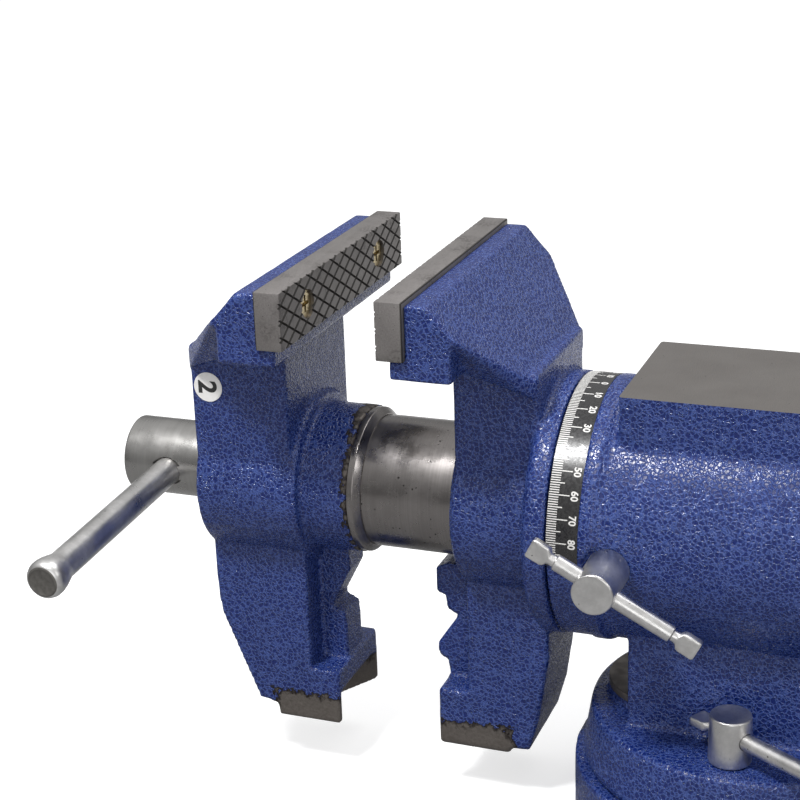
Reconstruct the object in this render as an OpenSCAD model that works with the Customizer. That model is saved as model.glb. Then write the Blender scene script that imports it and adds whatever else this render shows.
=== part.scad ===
// Multi-purpose bench vise. The base bolts to a bench, the body swivels on it,
// the head turns in the body about the screw, and the front jaw slides in the head.
// Origin: swivel axis at the underside of the base. +X runs from the front jaw to the back.

/* [Jaws] */
// Width of the hardened jaw plates
jaw_w = 150; // [146:1:154]
// Gap between the jaw faces as drawn
jaw_gap = 44.2; // [20:0.1:60]
// Thickness of a jaw plate
plate_t = 12.7; // [11:0.1:14]
// Height of a jaw plate
plate_h = 27; // [25:0.5:29]
// Top of the jaw plates above the screw axis
jaw_top = 114.7; // [112:0.1:118]
// Half width of the bar behind each jaw plate
bar_hw = 72.7; // [70:0.1:73]
// Half width of the necks between the bars and the screw
neck_hw = 37.5; // [36:0.5:40]
// Half width of the lower pillars and their flat jaws
pillar_hw = 26; // [24:0.5:28]
// Half width of the toothed pipe jaws
pipe_hw = 10; // [8:0.5:12]

/* [Slide and screw] */
// Radius of the round slide
slide_r = 32.1; // [31:0.1:33]
// Inside radius of the slide
slide_bore_r = 22.5; // [22:0.1:24]
// Radius of the thread crests of the screw
thread_r = 12; // [11:0.5:12.5]
// Thread lead for one turn
thread_lead = 6; // [5:1:8]
// Radius of the plain front journal of the screw
journal_r = 13; // [12.6:0.1:13.4]
// Radius of the screw's head
screw_head_r = 19.2; // [18:0.1:20]
// Radius of the handle bar
handle_r = 7; // [6:0.5:7.5]
// Length of the handle bar
handle_len = 200; // [180:5:220]
// Downward slope of the handle as drawn
handle_slope = 3; // [0:1:10]

/* [Body] */
// Height of the screw axis above the bench
axis_h = 150; // [148:1:155]
// Distance from the swivel axis forward to the fixed jaw face
face_reach = 155; // [153:1:158]
// Radius of the barrel
barrel_r = 60; // [59:0.5:61]
// Radius of the head's sleeve where it turns in the barrel
sleeve_r = 44; // [43:0.5:45]
// Radius of the degree band
band_r = 61.8; // [61.5:0.1:62.5]
// Half width of the anvil
anvil_hw = 40.5; // [38:0.5:42]
// Length of the anvil
anvil_len = 112.4; // [104:0.2:116]
// Height of the anvil above the screw axis
anvil_top = 68.7; // [67:0.1:71]
// Half width of the body's pillar
body_hw = 41; // [38:1:42]

/* [Base and locks] */
// Height of the base casting
base_h = 31; // [29:1:32]
// Radius of the base casting
base_r = 84; // [83:1:85]
// Radius of the ledge on top of the swivelling foot
ledge_r = 76; // [75:1:78]
// Height of the ledge above the bench
ledge_z = 59; // [57:1:61]
// Radius of the circle through the bench bolts
bolt_circle_r = 95; // [93:1:96]
// Radius of the bench bolt holes
bolt_hole_r = 6.5; // [5.5:0.5:7]
// Distance of the swivel lock screws from the swivel axis
lock_reach = 58; // [57:0.5:59]
// Radius of the heads of the lock screws
lock_head_r = 9.75; // [9:0.25:10]
// Radius of the sliding bars through the lock screws
lock_bar_r = 3.8; // [3.5:0.1:4]

/* [Hidden] */
$fn = 96;

// Radial clearance of a shaft that turns or slides
fit = 0.06;
// Clearance between flat faces of pieces that move apart
face_gap = 0.3;

// Jaw bars, in a frame with X measured backwards from the jaw face and Z from the screw axis
bar_top = jaw_top - 1.8;
seat_z = jaw_top - plate_h;
bar_low = 78.5;
bar_lip = 5;
bar_strip = 23;
bar_back = 33.6;
slope_z = 101;
plate_mid = jaw_top - plate_h / 2;
plate_screw_y = 44;
plate_screw_r = 4;
plate_head_r = 6.6;

// Necks, pillars and lower jaws of the two castings
fixed_front = 21.5;
fixed_back = 62;
moving_front = 17;
moving_back = 66.6;
moving_face = 2.2;
lower_top = -96;
groove_top = -108;
groove_depth = 14;

// Head: collar in front of the barrel, sleeve through it
collar_r = 62;
barrel_front = 71.3;
barrel_back = 240;
sleeve_back = barrel_back + face_gap;
ring_t = 8;
slide_front = -75;
slide_back = 196;
boss_front = -34;
boss_r = 36.2;
shoulder_r = 35.5;
slot_w = 12.4;

// Lead nut and its lug, which also keys the slide
nut_front = 44;
nut_back = 88;
nut_r = 20;
lug_w = 12;
lug_front = 66;
lug_deep = 38;
nut_screw_x = 77;

// Screw
head_front = -162;
head_back = -113.1;
thread_start = -62;
thread_end = 200;
handle_x = -138;
handle_near = 126;
collar_x = -69;

// Pivot of the swivelling foot
spigot_r = 25;
pivot_r = 8;
washer_top = 9.7;
washer_t = 3.7;

// Locks
head_lock_x = 100;
head_lock_z = -4;
head_lock_tilt = 28;
swivel_bar_turn = 31;
lock_shank_r = 6;
head_lock_h = 28;
head_lock_bar_z = 20;
swivel_lock_h = 23;
swivel_lock_bar_z = 13;
slot_low = 8;
slot_neck = 20;

module along_x(x0, x1, r) {
    translate([x0, 0, 0])
        rotate([0, 90, 0])
            cylinder(h = x1 - x0, r = r);
}

module along_y(y0, y1, r) {
    translate([0, y0, 0])
        rotate([-90, 0, 0])
            cylinder(h = y1 - y0, r = r);
}

module ring_x(x0, x1, outer, inner) {
    difference() {
        along_x(x0, x1, outer);
        along_x(x0 - 1, x1 + 1, inner);
    }
}

// A side outline in X and Z, given thickness across Y
module side_slab(outline, half_width) {
    rotate([90, 0, 0])
        linear_extrude(2 * half_width, center = true)
            polygon(outline);
}

// Frame of the fixed jaw: X backwards from its face, Z from the screw axis
module at_fixed() {
    translate([-face_reach, 0, axis_h])
        children();
}

// Frame of the moving jaw: X forwards from its face, Z from the screw axis
module at_moving() {
    translate([-face_reach - jaw_gap, 0, axis_h])
        mirror([1, 0, 0])
            children();
}

module both_sides() {
    for (side = [-1, 1])
        translate([0, side * plate_screw_y, 0])
            children();
}

module jaw_bar() {
    side_slab([
        [plate_t, bar_top], [bar_strip, bar_top], [bar_back, slope_z], [bar_back, bar_low],
        [bar_lip, bar_low], [bar_lip, seat_z], [plate_t, seat_z]
    ], bar_hw);
}

// The sloping shoulder that narrows from the bar to the neck, undercut at each side
module jaw_shoulder(back, back_z) {
    intersection() {
        side_slab([
            [bar_back - 2, slope_z - 0.3], [bar_back, slope_z],
            [back, back_z], [back, 62.5], [bar_back - 2, bar_low]
        ], bar_hw);
        linear_extrude(jaw_top)
            polygon([
                [0, -bar_hw], [bar_back + 2, -bar_hw], [back, -neck_hw],
                [back, neck_hw], [bar_back + 2, bar_hw], [0, bar_hw]
            ]);
        rotate([90, 0, 90])
            linear_extrude(back + 1)
                polygon([
                    [-bar_hw - 1, slope_z + 1], [-bar_hw - 1, slope_z - 3], [-neck_hw, 61],
                    [neck_hw, 61], [bar_hw + 1, slope_z - 3], [bar_hw + 1, slope_z + 1]
                ]);
    }
}

module jaw_neck(front, back) {
    translate([front, -neck_hw, -18])
        cube([back - front, 2 * neck_hw, bar_low + 14]);
}

// An upright groove for round bars in the end of a lower jaw
module end_groove(face) {
    translate([0, 0, groove_top - 60])
        linear_extrude(60)
            polygon([[face - 1, -25.5], [face + groove_depth, 0], [face - 1, 25.5]]);
}

module plate_screw_holes() {
    translate([0, 0, plate_mid])
        both_sides()
            along_x(-1, plate_t + 14, plate_screw_r + 0.05);
}

module jaw_plate() {
    difference() {
        translate([0, -jaw_w / 2, seat_z])
            cube([plate_t, jaw_w, plate_h]);
        plate_screw_holes();
        translate([0, 0, plate_mid])
            both_sides()
                along_x(-1, 6, plate_head_r + 0.15);
    }
}

module plate_screws() {
    translate([0, 0, plate_mid])
        both_sides()
            difference() {
                union() {
                    along_x(1.6, 6, plate_head_r);
                    along_x(5, plate_t + 12, plate_screw_r);
                }
                for (turn = [0, 90])
                    rotate([turn, 0, 0])
                        translate([0, -0.9, -4])
                            cube([3.6, 1.8, 8]);
            }
}

// A bar along X that slides in a lock screw, with a neck and a flattened end at each side
module lock_bar(left, right) {
    end_len = 10;
    neck_len = 3;
    along_x(-left + end_len + neck_len, right - end_len - neck_len, lock_bar_r);
    along_x(-left + 1, right - 1, lock_bar_r - 1);
    for (x = [-left, right - end_len])
        translate([x, -4.8, -2.2])
            cube([end_len, 9.6, 4.4]);
}

// A lock screw standing on its seat at Z = 0, with a cross hole at bar_z for its bar
module lock_screw(shank_len, head_h, bar_z) {
    difference() {
        union() {
            translate([0, 0, face_gap])
                cylinder(h = head_h - 1, r = lock_head_r);
            translate([0, 0, head_h + face_gap - 1])
                cylinder(h = 1, r1 = lock_head_r, r2 = lock_head_r - 1);
            translate([0, 0, -shank_len])
                cylinder(h = shank_len + 1, r = lock_shank_r);
        }
        translate([0, 0, bar_z])
            along_x(-20, 20, lock_bar_r + fit);
    }
}

// ---- Base ----

module base_casting() {
    color("midnightblue")
        difference() {
            union() {
                cylinder(h = base_h, r = base_r);
                for (turn = [45 : 90 : 315])
                    rotate([0, 0, turn]) {
                        translate([bolt_circle_r, 0, 0])
                            cylinder(h = 15, r = 13);
                        translate([0, -13, 0])
                            cube([bolt_circle_r, 26, 15]);
                    }
            }
            for (turn = [45 : 90 : 315])
                rotate([0, 0, turn])
                    translate([bolt_circle_r, 0, -1])
                        cylinder(h = 20, r = bolt_hole_r);
            // Bore for the foot's spigot and a recess for the pivot washer
            translate([0, 0, -1])
                cylinder(h = base_h + 2, r = spigot_r + fit);
            translate([0, 0, -1])
                cylinder(h = washer_top + face_gap + 1, r = 34);
            // Annular slot for the clamp nuts
            rotate_extrude()
                polygon([
                    [47, slot_low], [69, slot_low], [69, slot_neck], [65, slot_neck],
                    [65, base_h + 1], [51, base_h + 1], [51, slot_neck], [47, slot_neck]
                ]);
        }
}

module pivot_washer() {
    color("gainsboro")
        translate([0, 0, washer_top - washer_t])
            difference() {
                cylinder(h = washer_t, r = 32);
                translate([0, 0, -1])
                    cylinder(h = washer_t + 2, r = pivot_r + 0.2);
            }
}

module pivot_bolt() {
    color("silver") {
        translate([0, 0, 0.5])
            cylinder(h = washer_top - washer_t - 0.5, r = 13, $fn = 6);
        translate([0, 0, 5])
            cylinder(h = 34, r = pivot_r);
    }
}

// ---- Body ----

module body_solid() {
    rotate_extrude()
        polygon([
            [0, base_h + face_gap], [ledge_r + 3, base_h + face_gap], [ledge_r + 4, base_h + 4],
            [ledge_r, ledge_z - 1.5], [ledge_r - 1.5, ledge_z], [0, ledge_z]
        ]);
    translate([0, 0, washer_top])
        cylinder(h = 30, r = spigot_r);
    // Round machined pad in front of the pillar
    translate([-38, 0, ledge_z - 1])
        cylinder(h = 8, r = 31);
    translate([-51, -body_hw, ledge_z - 1])
        cube([102, 2 * body_hw, axis_h - ledge_z - 20]);
    translate([-anvil_len / 2, -anvil_hw, axis_h + 20])
        cube([anvil_len, 2 * anvil_hw, anvil_top - 20]);
    at_fixed() {
        along_x(barrel_front, 94, band_r - 0.6);
        along_x(86.4, 93.5, band_r + 0.4);
        along_x(94, barrel_back - 10, barrel_r + 0.6);
        along_x(barrel_back - 12, barrel_back, barrel_r - 2);
    }
}

module body_casting() {
    color("royalblue")
        difference() {
            body_solid();
            at_fixed() {
                along_x(barrel_front - 1, barrel_back + 1, sleeve_r + fit);
                translate([head_lock_x, 0, head_lock_z]) {
                    along_y(-70, -30, lock_shank_r + fit);
                    along_y(-75, -60, lock_head_r + 2);
                }
            }
            for (side = [-1, 1])
                translate([0, side * lock_reach, 0])
                    cylinder(h = 70, r = lock_shank_r + fit);
            cylinder(h = 40, r = pivot_r + 0.05);
        }
}

module degree_band() {
    color("black")
        at_fixed()
            rotate([0, 90, 0])
                translate([0, 0, 71.8])
                    rotate([0, 0, 85])
                        rotate_extrude(angle = 190)
                            translate([band_r - 0.6, 0])
                                square([0.6, 14.4]);
}

module band_rivets() {
    color("silver")
        at_fixed()
            for (turn = [-92, 92])
                rotate([turn, 0, 0])
                    translate([79, 0, band_r - 4]) {
                        cylinder(h = 4, r = 1.2);
                        translate([0, 0, 4])
                            cylinder(h = 0.7, r = 2);
                    }
}

module clamp_nut() {
    translate([0, -lock_reach, slot_neck - face_gap - 8])
        difference() {
            translate([-10, -9, 0])
                cube([20, 18, 8]);
            translate([0, 0, -1])
                cylinder(h = 10, r = lock_shank_r + fit);
        }
}

module clamp_nut_near() {
    color("dimgray") clamp_nut();
}

module clamp_nut_far() {
    color("dimgray") rotate([0, 0, 180]) clamp_nut();
}

// ---- Locks ----

module at_head_lock() {
    translate([head_lock_x - face_reach, -60, axis_h + head_lock_z])
        rotate([90, 0, 0])
            rotate([0, 0, -head_lock_tilt])
                children();
}

module head_lock_pad() {
    color("goldenrod")
        difference() {
            translate([head_lock_x - face_reach, 0, axis_h + head_lock_z])
                along_y(-47.5, -42, lock_shank_r - 0.1);
            at_fixed()
                along_x(barrel_front, 130, sleeve_r + fit);
        }
}

module head_lock_screw() {
    color("silver") at_head_lock() lock_screw(12.2, head_lock_h, head_lock_bar_z);
}

module head_lock_bar() {
    color("silver")
        at_head_lock()
            translate([0, 0, head_lock_bar_z])
                rotate([90, 0, 0])
                    lock_bar(33.5, 50);
}

module at_swivel_lock() {
    translate([0, -lock_reach, ledge_z])
        rotate([0, 0, -swivel_bar_turn])
            children();
}

module swivel_lock_screw() {
    at_swivel_lock() lock_screw(ledge_z - slot_low - 1, swivel_lock_h, swivel_lock_bar_z);
}

module swivel_lock_bar() {
    at_swivel_lock() translate([0, 0, swivel_lock_bar_z]) lock_bar(20.5, 62.5);
}

module swivel_lock_screw_near() {
    color("silver") swivel_lock_screw();
}

module swivel_lock_bar_near() {
    color("silver") swivel_lock_bar();
}

module swivel_lock_screw_far() {
    color("silver") rotate([0, 0, 180]) swivel_lock_screw();
}

module swivel_lock_bar_far() {
    color("silver") rotate([0, 0, 180]) swivel_lock_bar();
}

// ---- Rotating head with the fixed jaw ----

module fixed_pipe_jaw() {
    side_slab([
        [fixed_front + 1, -36.5], [6, -36.5], [0.6, -39], [0.6, -52.5], [5, -53.5], [6, -61],
        [11.5, -63.5], [0.8, -79.5], [0.6, -84], [2, -87], [5.5, -88.5], [7, -97],
        [fixed_front + 1, -97]
    ], pipe_hw);
}

module fixed_lower_jaw() {
    side_slab([
        [fixed_front, -10], [fixed_front, lower_top], [6, lower_top], [6, -126], [42, -126],
        [43, -123], [52, -123], [57, -105], [fixed_back, -72], [fixed_back, -10]
    ], pillar_hw);
}

module head_solid() {
    jaw_bar();
    jaw_shoulder(fixed_back, 70);
    jaw_neck(fixed_front, fixed_back);
    along_x(fixed_front - 2, fixed_front + 1, 42);
    along_x(fixed_front, fixed_back, 44.5);
    fixed_pipe_jaw();
    fixed_lower_jaw();
    translate([fixed_back - 3, 0, 0])
        rotate([0, 90, 0])
            cylinder(h = 3.01, r1 = collar_r - 4, r2 = collar_r);
    along_x(fixed_back, barrel_front - face_gap, collar_r);
    along_x(barrel_front - 2, sleeve_back, sleeve_r);
}

module fixed_jaw_casting() {
    color("royalblue")
        at_fixed()
            difference() {
                head_solid();
                along_x(0, sleeve_back + 1, slide_r + fit);
                end_groove(6);
                plate_screw_holes();
                // Keyway for the nut's lug, open at the back
                translate([lug_front - 0.2, -lug_w / 2 - 0.1, -lug_deep - 0.2])
                    cube([sleeve_back, lug_w + 0.2, lug_deep]);
                translate([nut_screw_x, 0, 0]) {
                    translate([0, 0, -sleeve_r - 1])
                        cylinder(h = 4, r = 6.2);
                    translate([0, 0, -sleeve_r - 1])
                        cylinder(h = 12, r = 4.05);
                }
                for (turn = [45 : 90 : 315])
                    rotate([turn, 0, 0])
                        translate([0, 0, 38.2])
                            along_x(sleeve_back - 12, sleeve_back + 1, 2.05);
            }
}

module fixed_jaw_plate() {
    color("gray") at_fixed() jaw_plate();
}

module fixed_plate_screws() {
    color("silver") at_fixed() plate_screws();
}

module retaining_ring() {
    color("dimgray")
        at_fixed()
            difference() {
                ring_x(sleeve_back, sleeve_back + ring_t, 52, slide_r + 1);
                for (turn = [45 : 90 : 315])
                    rotate([turn, 0, 0])
                        translate([0, 0, 38.2]) {
                            along_x(sleeve_back - 1, sleeve_back + ring_t + 1, 2.1);
                            along_x(sleeve_back + 4, sleeve_back + ring_t + 1, 3.7);
                        }
            }
}

module retaining_screws() {
    color("black")
        at_fixed()
            for (turn = [45 : 90 : 315])
                rotate([turn, 0, 0])
                    translate([0, 0, 38.2])
                        difference() {
                            union() {
                                along_x(sleeve_back - 10, sleeve_back + 5, 2);
                                along_x(sleeve_back + 4, sleeve_back + ring_t - 0.4, 3.5);
                            }
                            translate([sleeve_back + ring_t - 2.4, 0, 0])
                                rotate([0, 90, 0])
                                    cylinder(h = 3, r = 1.7, $fn = 6);
                        }
}

module lead_nut() {
    color("goldenrod")
        at_fixed()
            difference() {
                union() {
                    along_x(nut_front, nut_back, nut_r);
                    translate([lug_front, -lug_w / 2, -lug_deep])
                        cube([nut_back - lug_front, lug_w, lug_deep - 10]);
                }
                along_x(nut_front - 1, nut_back + 1, thread_r + fit);
                translate([nut_screw_x, 0, -sleeve_r])
                    cylinder(h = 19, r = 4.05);
            }
}

module nut_screw() {
    color("black")
        at_fixed()
            translate([nut_screw_x, 0, -sleeve_r + 0.4]) {
                cylinder(h = 18, r = 4);
                difference() {
                    cylinder(h = 2.5, r = 6);
                    translate([0, 0, -1])
                        cylinder(h = 3, r = 2.3, $fn = 6);
                }
            }
}

// ---- Sliding front jaw ----

module moving_pipe_jaw() {
    side_slab([
        [moving_front + 1, -36.5], [1, -36.5], [0.6, -47], [10.5, -66], [10.5, -68.5],
        [4.5, -71], [3.5, -78], [3.5, -97], [moving_front + 1, -97]
    ], pipe_hw);
}

module moving_lower_jaw() {
    side_slab([
        [moving_front, -10], [moving_front, lower_top], [moving_face, lower_top],
        [moving_face, -124.5], [36, -124.5], [37, -118], [46.5, -117], [48.5, -111.5],
        [65, -70], [moving_back, -51], [moving_back, -10]
    ], pillar_hw);
}

module moving_jaw_casting() {
    tube_end = -slide_front - jaw_gap;
    boss_end = -boss_front - jaw_gap;
    color("royalblue")
        at_moving()
            difference() {
                union() {
                    jaw_bar();
                    jaw_shoulder(moving_back, 72);
                    jaw_neck(moving_front, moving_back);
                    along_x(moving_front - 3, moving_back, 41);
                    along_x(boss_end, moving_front, boss_r);
                    moving_pipe_jaw();
                    moving_lower_jaw();
                }
                along_x(boss_end - 20, tube_end, slide_r + 0.05);
                along_x(0, moving_back + 1, journal_r + fit);
                end_groove(moving_face);
                plate_screw_holes();
                translate([24, 0, -60])
                    cylinder(h = 40, r = 4.05);
            }
}

module moving_jaw_plate() {
    color("gray") at_moving() jaw_plate();
}

module moving_plate_screws() {
    color("silver") at_moving() plate_screws();
}

module slide_tube() {
    color("silver")
        at_fixed()
            difference() {
                along_x(slide_front + 0.1, slide_back, slide_r);
                along_x(slide_front - 1, slide_back + 1, slide_bore_r);
                // Keyway along the underside
                translate([20, -slot_w / 2, -slide_r - 1])
                    cube([slide_back, slot_w, slide_r - 8]);
            }
}

module slide_collar() {
    color("dimgray")
        at_fixed()
            difference() {
                union() {
                    along_x(boss_front, -31, shoulder_r);
                    translate([-31, 0, 0])
                        rotate([0, 90, 0])
                            cylinder(h = 3, r1 = shoulder_r, r2 = slide_r + 0.4);
                }
                along_x(boss_front - 1, -27, slide_r + 0.05);
            }
}

module slide_set_screw() {
    color("black")
        at_moving()
            translate([24, 0, -56])
                difference() {
                    cylinder(h = 56 - slide_r - 0.1, r = 4);
                    translate([0, 0, -1])
                        cylinder(h = 5, r = 2.3, $fn = 6);
                }
}

module thrust_washer() {
    color("gainsboro")
        at_moving()
            ring_x(moving_back, moving_back + 2, 21, journal_r + 0.1);
}

module round_sticker() {
    color("white")
        at_moving()
            translate([57.2, -neck_hw - 0.3, 53.8])
                along_y(0, 0.3, 7.3);
}

// ---- Screw and handle ----

// Rings that stand in for the thread, with flat crests
module threaded_rod(x0, x1, crest, root) {
    turns = floor((x1 - x0) / thread_lead);
    along_x(x0, x1, root);
    for (i = [0 : turns - 1])
        translate([x0 + (i + 0.5) * thread_lead, 0, 0])
            rotate([0, 90, 0])
                rotate_extrude()
                    polygon([
                        [root - 1, 0], [root, 0], [crest, 1.1], [crest, 2.6], [root, 3.7], [root - 1, 3.7]
                    ]);
}

module lead_screw() {
    color("silver")
        at_fixed()
            difference() {
                union() {
                    translate([head_front, 0, 0])
                        rotate([0, 90, 0])
                            cylinder(h = 1.5, r1 = screw_head_r - 1.5, r2 = screw_head_r);
                    along_x(head_front + 1.5, head_back, screw_head_r);
                    along_x(head_back - 1, thread_start, journal_r);
                    threaded_rod(thread_start - 1, thread_end, thread_r, thread_r - 2.6);
                }
                translate([handle_x, 0, 0])
                    rotate([handle_slope, 0, 0])
                        along_y(-30, 30, handle_r + fit);
                translate([collar_x, 0, 0])
                    cylinder(h = 60, r = 2.55, center = true);
            }
}

module thrust_collar() {
    color("dimgray")
        at_fixed()
            difference() {
                ring_x(slide_front + 0.4, -64, nut_r, journal_r + 0.05);
                translate([collar_x, 0, 0])
                    cylinder(h = 60, r = 2.55, center = true);
            }
}

module collar_pin() {
    color("silver")
        at_fixed()
            translate([collar_x, 0, 0])
                cylinder(h = 2 * nut_r - 1, r = 2.5, center = true);
}

module at_handle() {
    translate([handle_x - face_reach, 0, axis_h])
        rotate([handle_slope, 0, 0])
            children();
}

// A swollen end: a cone that grows from the bar, then a rounded face
module handle_bulb() {
    rotate_extrude()
        polygon([
            [0, -2], [handle_r, -2], [handle_r + 0.6, 1], [handle_r + 2.2, 6],
            [handle_r + 2.4, 10], [handle_r + 1.6, 12.4], [handle_r - 1, 14], [0, 14.6]
        ]);
}

module handle_bar() {
    color("silver")
        at_handle() {
            along_y(-handle_near, handle_len - handle_near - 16, handle_r);
            translate([0, -handle_near + 1, 0])
                rotate([90, 0, 0])
                    handle_bulb();
        }
}

module handle_end() {
    color("silver")
        at_handle()
            translate([0, handle_len - handle_near - 28, 0])
                rotate([-90, 0, 0])
                    difference() {
                        handle_bulb();
                        translate([0, 0, -3])
                            cylinder(h = 15.05, r = handle_r + 0.02);
                    }
}

base_casting();
pivot_bolt();
pivot_washer();
body_casting();
degree_band();
band_rivets();
clamp_nut_near();
clamp_nut_far();
head_lock_pad();
head_lock_screw();
head_lock_bar();
swivel_lock_screw_near();
swivel_lock_bar_near();
swivel_lock_screw_far();
swivel_lock_bar_far();
fixed_jaw_casting();
fixed_jaw_plate();
fixed_plate_screws();
retaining_ring();
retaining_screws();
lead_nut();
nut_screw();
moving_jaw_casting();
moving_jaw_plate();
moving_plate_screws();
slide_tube();
slide_collar();
slide_set_screw();
thrust_washer();
round_sticker();
lead_screw();
thrust_collar();
collar_pin();
handle_bar();
handle_end();
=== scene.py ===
import math

import bmesh
import bpy
import numpy as np
from mathutils import Matrix, Vector
from mathutils.bvhtree import BVHTree


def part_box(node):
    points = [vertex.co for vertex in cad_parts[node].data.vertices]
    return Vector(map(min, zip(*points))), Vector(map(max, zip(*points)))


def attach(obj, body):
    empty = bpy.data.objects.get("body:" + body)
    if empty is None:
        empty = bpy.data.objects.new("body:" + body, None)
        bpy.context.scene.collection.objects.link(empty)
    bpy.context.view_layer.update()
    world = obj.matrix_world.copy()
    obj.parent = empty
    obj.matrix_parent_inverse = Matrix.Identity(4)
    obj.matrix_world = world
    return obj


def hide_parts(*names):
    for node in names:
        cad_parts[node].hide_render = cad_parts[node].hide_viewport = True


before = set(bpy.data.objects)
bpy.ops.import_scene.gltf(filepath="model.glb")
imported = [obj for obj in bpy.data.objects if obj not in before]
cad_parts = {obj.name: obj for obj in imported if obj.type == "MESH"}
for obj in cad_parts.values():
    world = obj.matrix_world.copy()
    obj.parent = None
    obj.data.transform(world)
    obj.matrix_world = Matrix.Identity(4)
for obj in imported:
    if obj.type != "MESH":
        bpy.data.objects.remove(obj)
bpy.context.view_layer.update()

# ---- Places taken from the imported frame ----

MM = 0.001
SLIDE_LOW, SLIDE_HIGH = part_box("slide_tube")
AXIS_Z = (SLIDE_LOW.z + SLIDE_HIGH.z) / 2
SLIDE_R = (SLIDE_HIGH.z - SLIDE_LOW.z) / 2
FACE_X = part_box("fixed_jaw_plate")[0].x
MOVING_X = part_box("moving_jaw_plate")[1].x
BAND_LOW, BAND_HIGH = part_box("degree_band")
BAND_R = BAND_HIGH.z - AXIS_Z
ANVIL_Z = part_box("body_casting")[1].z
# Where the screw's axis meets the plane of the fixed jaw face: castings are described from here
AXIS_AT_FACE = np.array([FACE_X, 0, AXIS_Z])
RNG = np.random.default_rng(7)


def fit_x(mm):
    """X of a plane given in mm behind the fixed jaw face."""
    return FACE_X + mm * MM


# ---- Mesh helpers ----


def new_object(name, mesh):
    obj = bpy.data.objects.new(name, mesh)
    bpy.context.scene.collection.objects.link(obj)
    return obj


def finish_mesh(obj, angle=32):
    """Smooth shading, with edges sharper than angle kept crisp."""
    bm = bmesh.new()
    bm.from_mesh(obj.data)
    for face in bm.faces:
        face.smooth = True
    for edge in bm.edges:
        if len(edge.link_faces) == 2:
            edge.smooth = edge.calc_face_angle(0) < math.radians(angle)
    bm.to_mesh(obj.data)
    bm.free()
    return obj


def applied(obj):
    """Puts the result of obj's modifiers into its mesh."""
    graph = bpy.context.evaluated_depsgraph_get()
    mesh = bpy.data.meshes.new_from_object(obj.evaluated_get(graph))
    obj.modifiers.clear()
    obj.data = mesh
    return obj


def cut(obj, cutter):
    """Takes cutter's shape out of obj, with the cutter's material on the new faces."""
    step = obj.modifiers.new("cut", "BOOLEAN")
    step.operation = "DIFFERENCE"
    step.solver = "EXACT"
    step.material_mode = "TRANSFER"
    step.object = cutter
    applied(obj)
    bpy.data.objects.remove(cutter)
    return obj


def axes_for(direction):
    """A rotation that takes local Z to direction."""
    return Vector(direction).to_track_quat("Z", "Y").to_matrix()


def lathe(name, profile, origin, direction, segments=64):
    """A closed turned shape. profile is (distance along the axis, radius) in mm."""
    turn = axes_for(direction)
    origin = Vector(origin)
    bm = bmesh.new()
    rings = []
    for along, radius in profile:
        if radius < 1e-6:
            rings.append([bm.verts.new(origin + turn @ Vector((0, 0, along * MM)))])
            continue
        ring = []
        for i in range(segments):
            a = 2 * math.pi * i / segments
            spot = Vector((radius * math.cos(a), radius * math.sin(a), along)) * MM
            ring.append(bm.verts.new(origin + turn @ spot))
        rings.append(ring)
    skin(bm, rings)
    mesh = bpy.data.meshes.new(name)
    bm.to_mesh(mesh)
    bm.free()
    return finish_mesh(new_object(name, mesh))


def skin(bm, rings):
    """Joins rings of vertices into a closed skin; the first and last are capped or points."""
    for a, b in zip(rings, rings[1:]):
        if len(a) == 1 and len(b) == 1:
            continue
        n = max(len(a), len(b))
        for i in range(n):
            j = (i + 1) % n
            if len(a) == 1:
                bm.faces.new((a[0], b[j], b[i]))
            elif len(b) == 1:
                bm.faces.new((a[i], a[j], b[0]))
            else:
                bm.faces.new((a[i], a[j], b[j], b[i]))
    if len(rings[0]) > 1:
        bm.faces.new(rings[0][::-1])
    if len(rings[-1]) > 1:
        bm.faces.new(rings[-1])
    bmesh.ops.recalc_face_normals(bm, faces=bm.faces)


def rounded(points, radius, steps=4):
    """A profile with each inner corner rounded."""
    out = [points[0]]
    for before, corner, after in zip(points, points[1:], points[2:]):
        p, c, q = Vector(before), Vector(corner), Vector(after)
        reach = min(radius, (p - c).length * 0.45, (q - c).length * 0.45)
        a = c + (p - c).normalized() * reach
        b = c + (q - c).normalized() * reach
        for k in range(steps + 1):
            t = k / steps
            spot = a * (1 - t) ** 2 + c * 2 * t * (1 - t) + b * t * t
            out.append((spot.x, spot.y))
    out.append(points[-1])
    return out


def loft(name, sections, origin, direction, up, segments=32):
    """A bar of sections (distance, half width, half height, squareness) in mm."""
    z = Vector(direction).normalized()
    x = Vector(up).cross(z).normalized()
    y = z.cross(x)
    bm = bmesh.new()
    rings = []
    for along, wide, high, square in sections:
        ring = []
        power = 2 / (2 + square)
        for i in range(segments):
            a = 2 * math.pi * (i + 0.5) / segments
            c, s = math.cos(a), math.sin(a)
            u = wide * math.copysign(abs(c) ** power, c)
            v = high * math.copysign(abs(s) ** power, s)
            ring.append(bm.verts.new(Vector(origin) + (z * along + x * u + y * v) * MM))
        rings.append(ring)
    skin(bm, rings)
    mesh = bpy.data.meshes.new(name)
    bm.to_mesh(mesh)
    bm.free()
    return finish_mesh(new_object(name, mesh), 40)


def boxes(name, corners):
    """One mesh of several six-sided blocks, each given by its eight corners."""
    bm = bmesh.new()
    for eight in corners:
        v = [bm.verts.new(c) for c in eight]
        for face in (
            (0, 3, 2, 1), (4, 5, 6, 7), (0, 1, 5, 4),
            (1, 2, 6, 5), (2, 3, 7, 6), (3, 0, 4, 7),
        ):
            bm.faces.new([v[i] for i in face])
    bmesh.ops.recalc_face_normals(bm, faces=bm.faces)
    mesh = bpy.data.meshes.new(name)
    bm.to_mesh(mesh)
    bm.free()
    return new_object(name, mesh)


# ---- Materials ----


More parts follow.
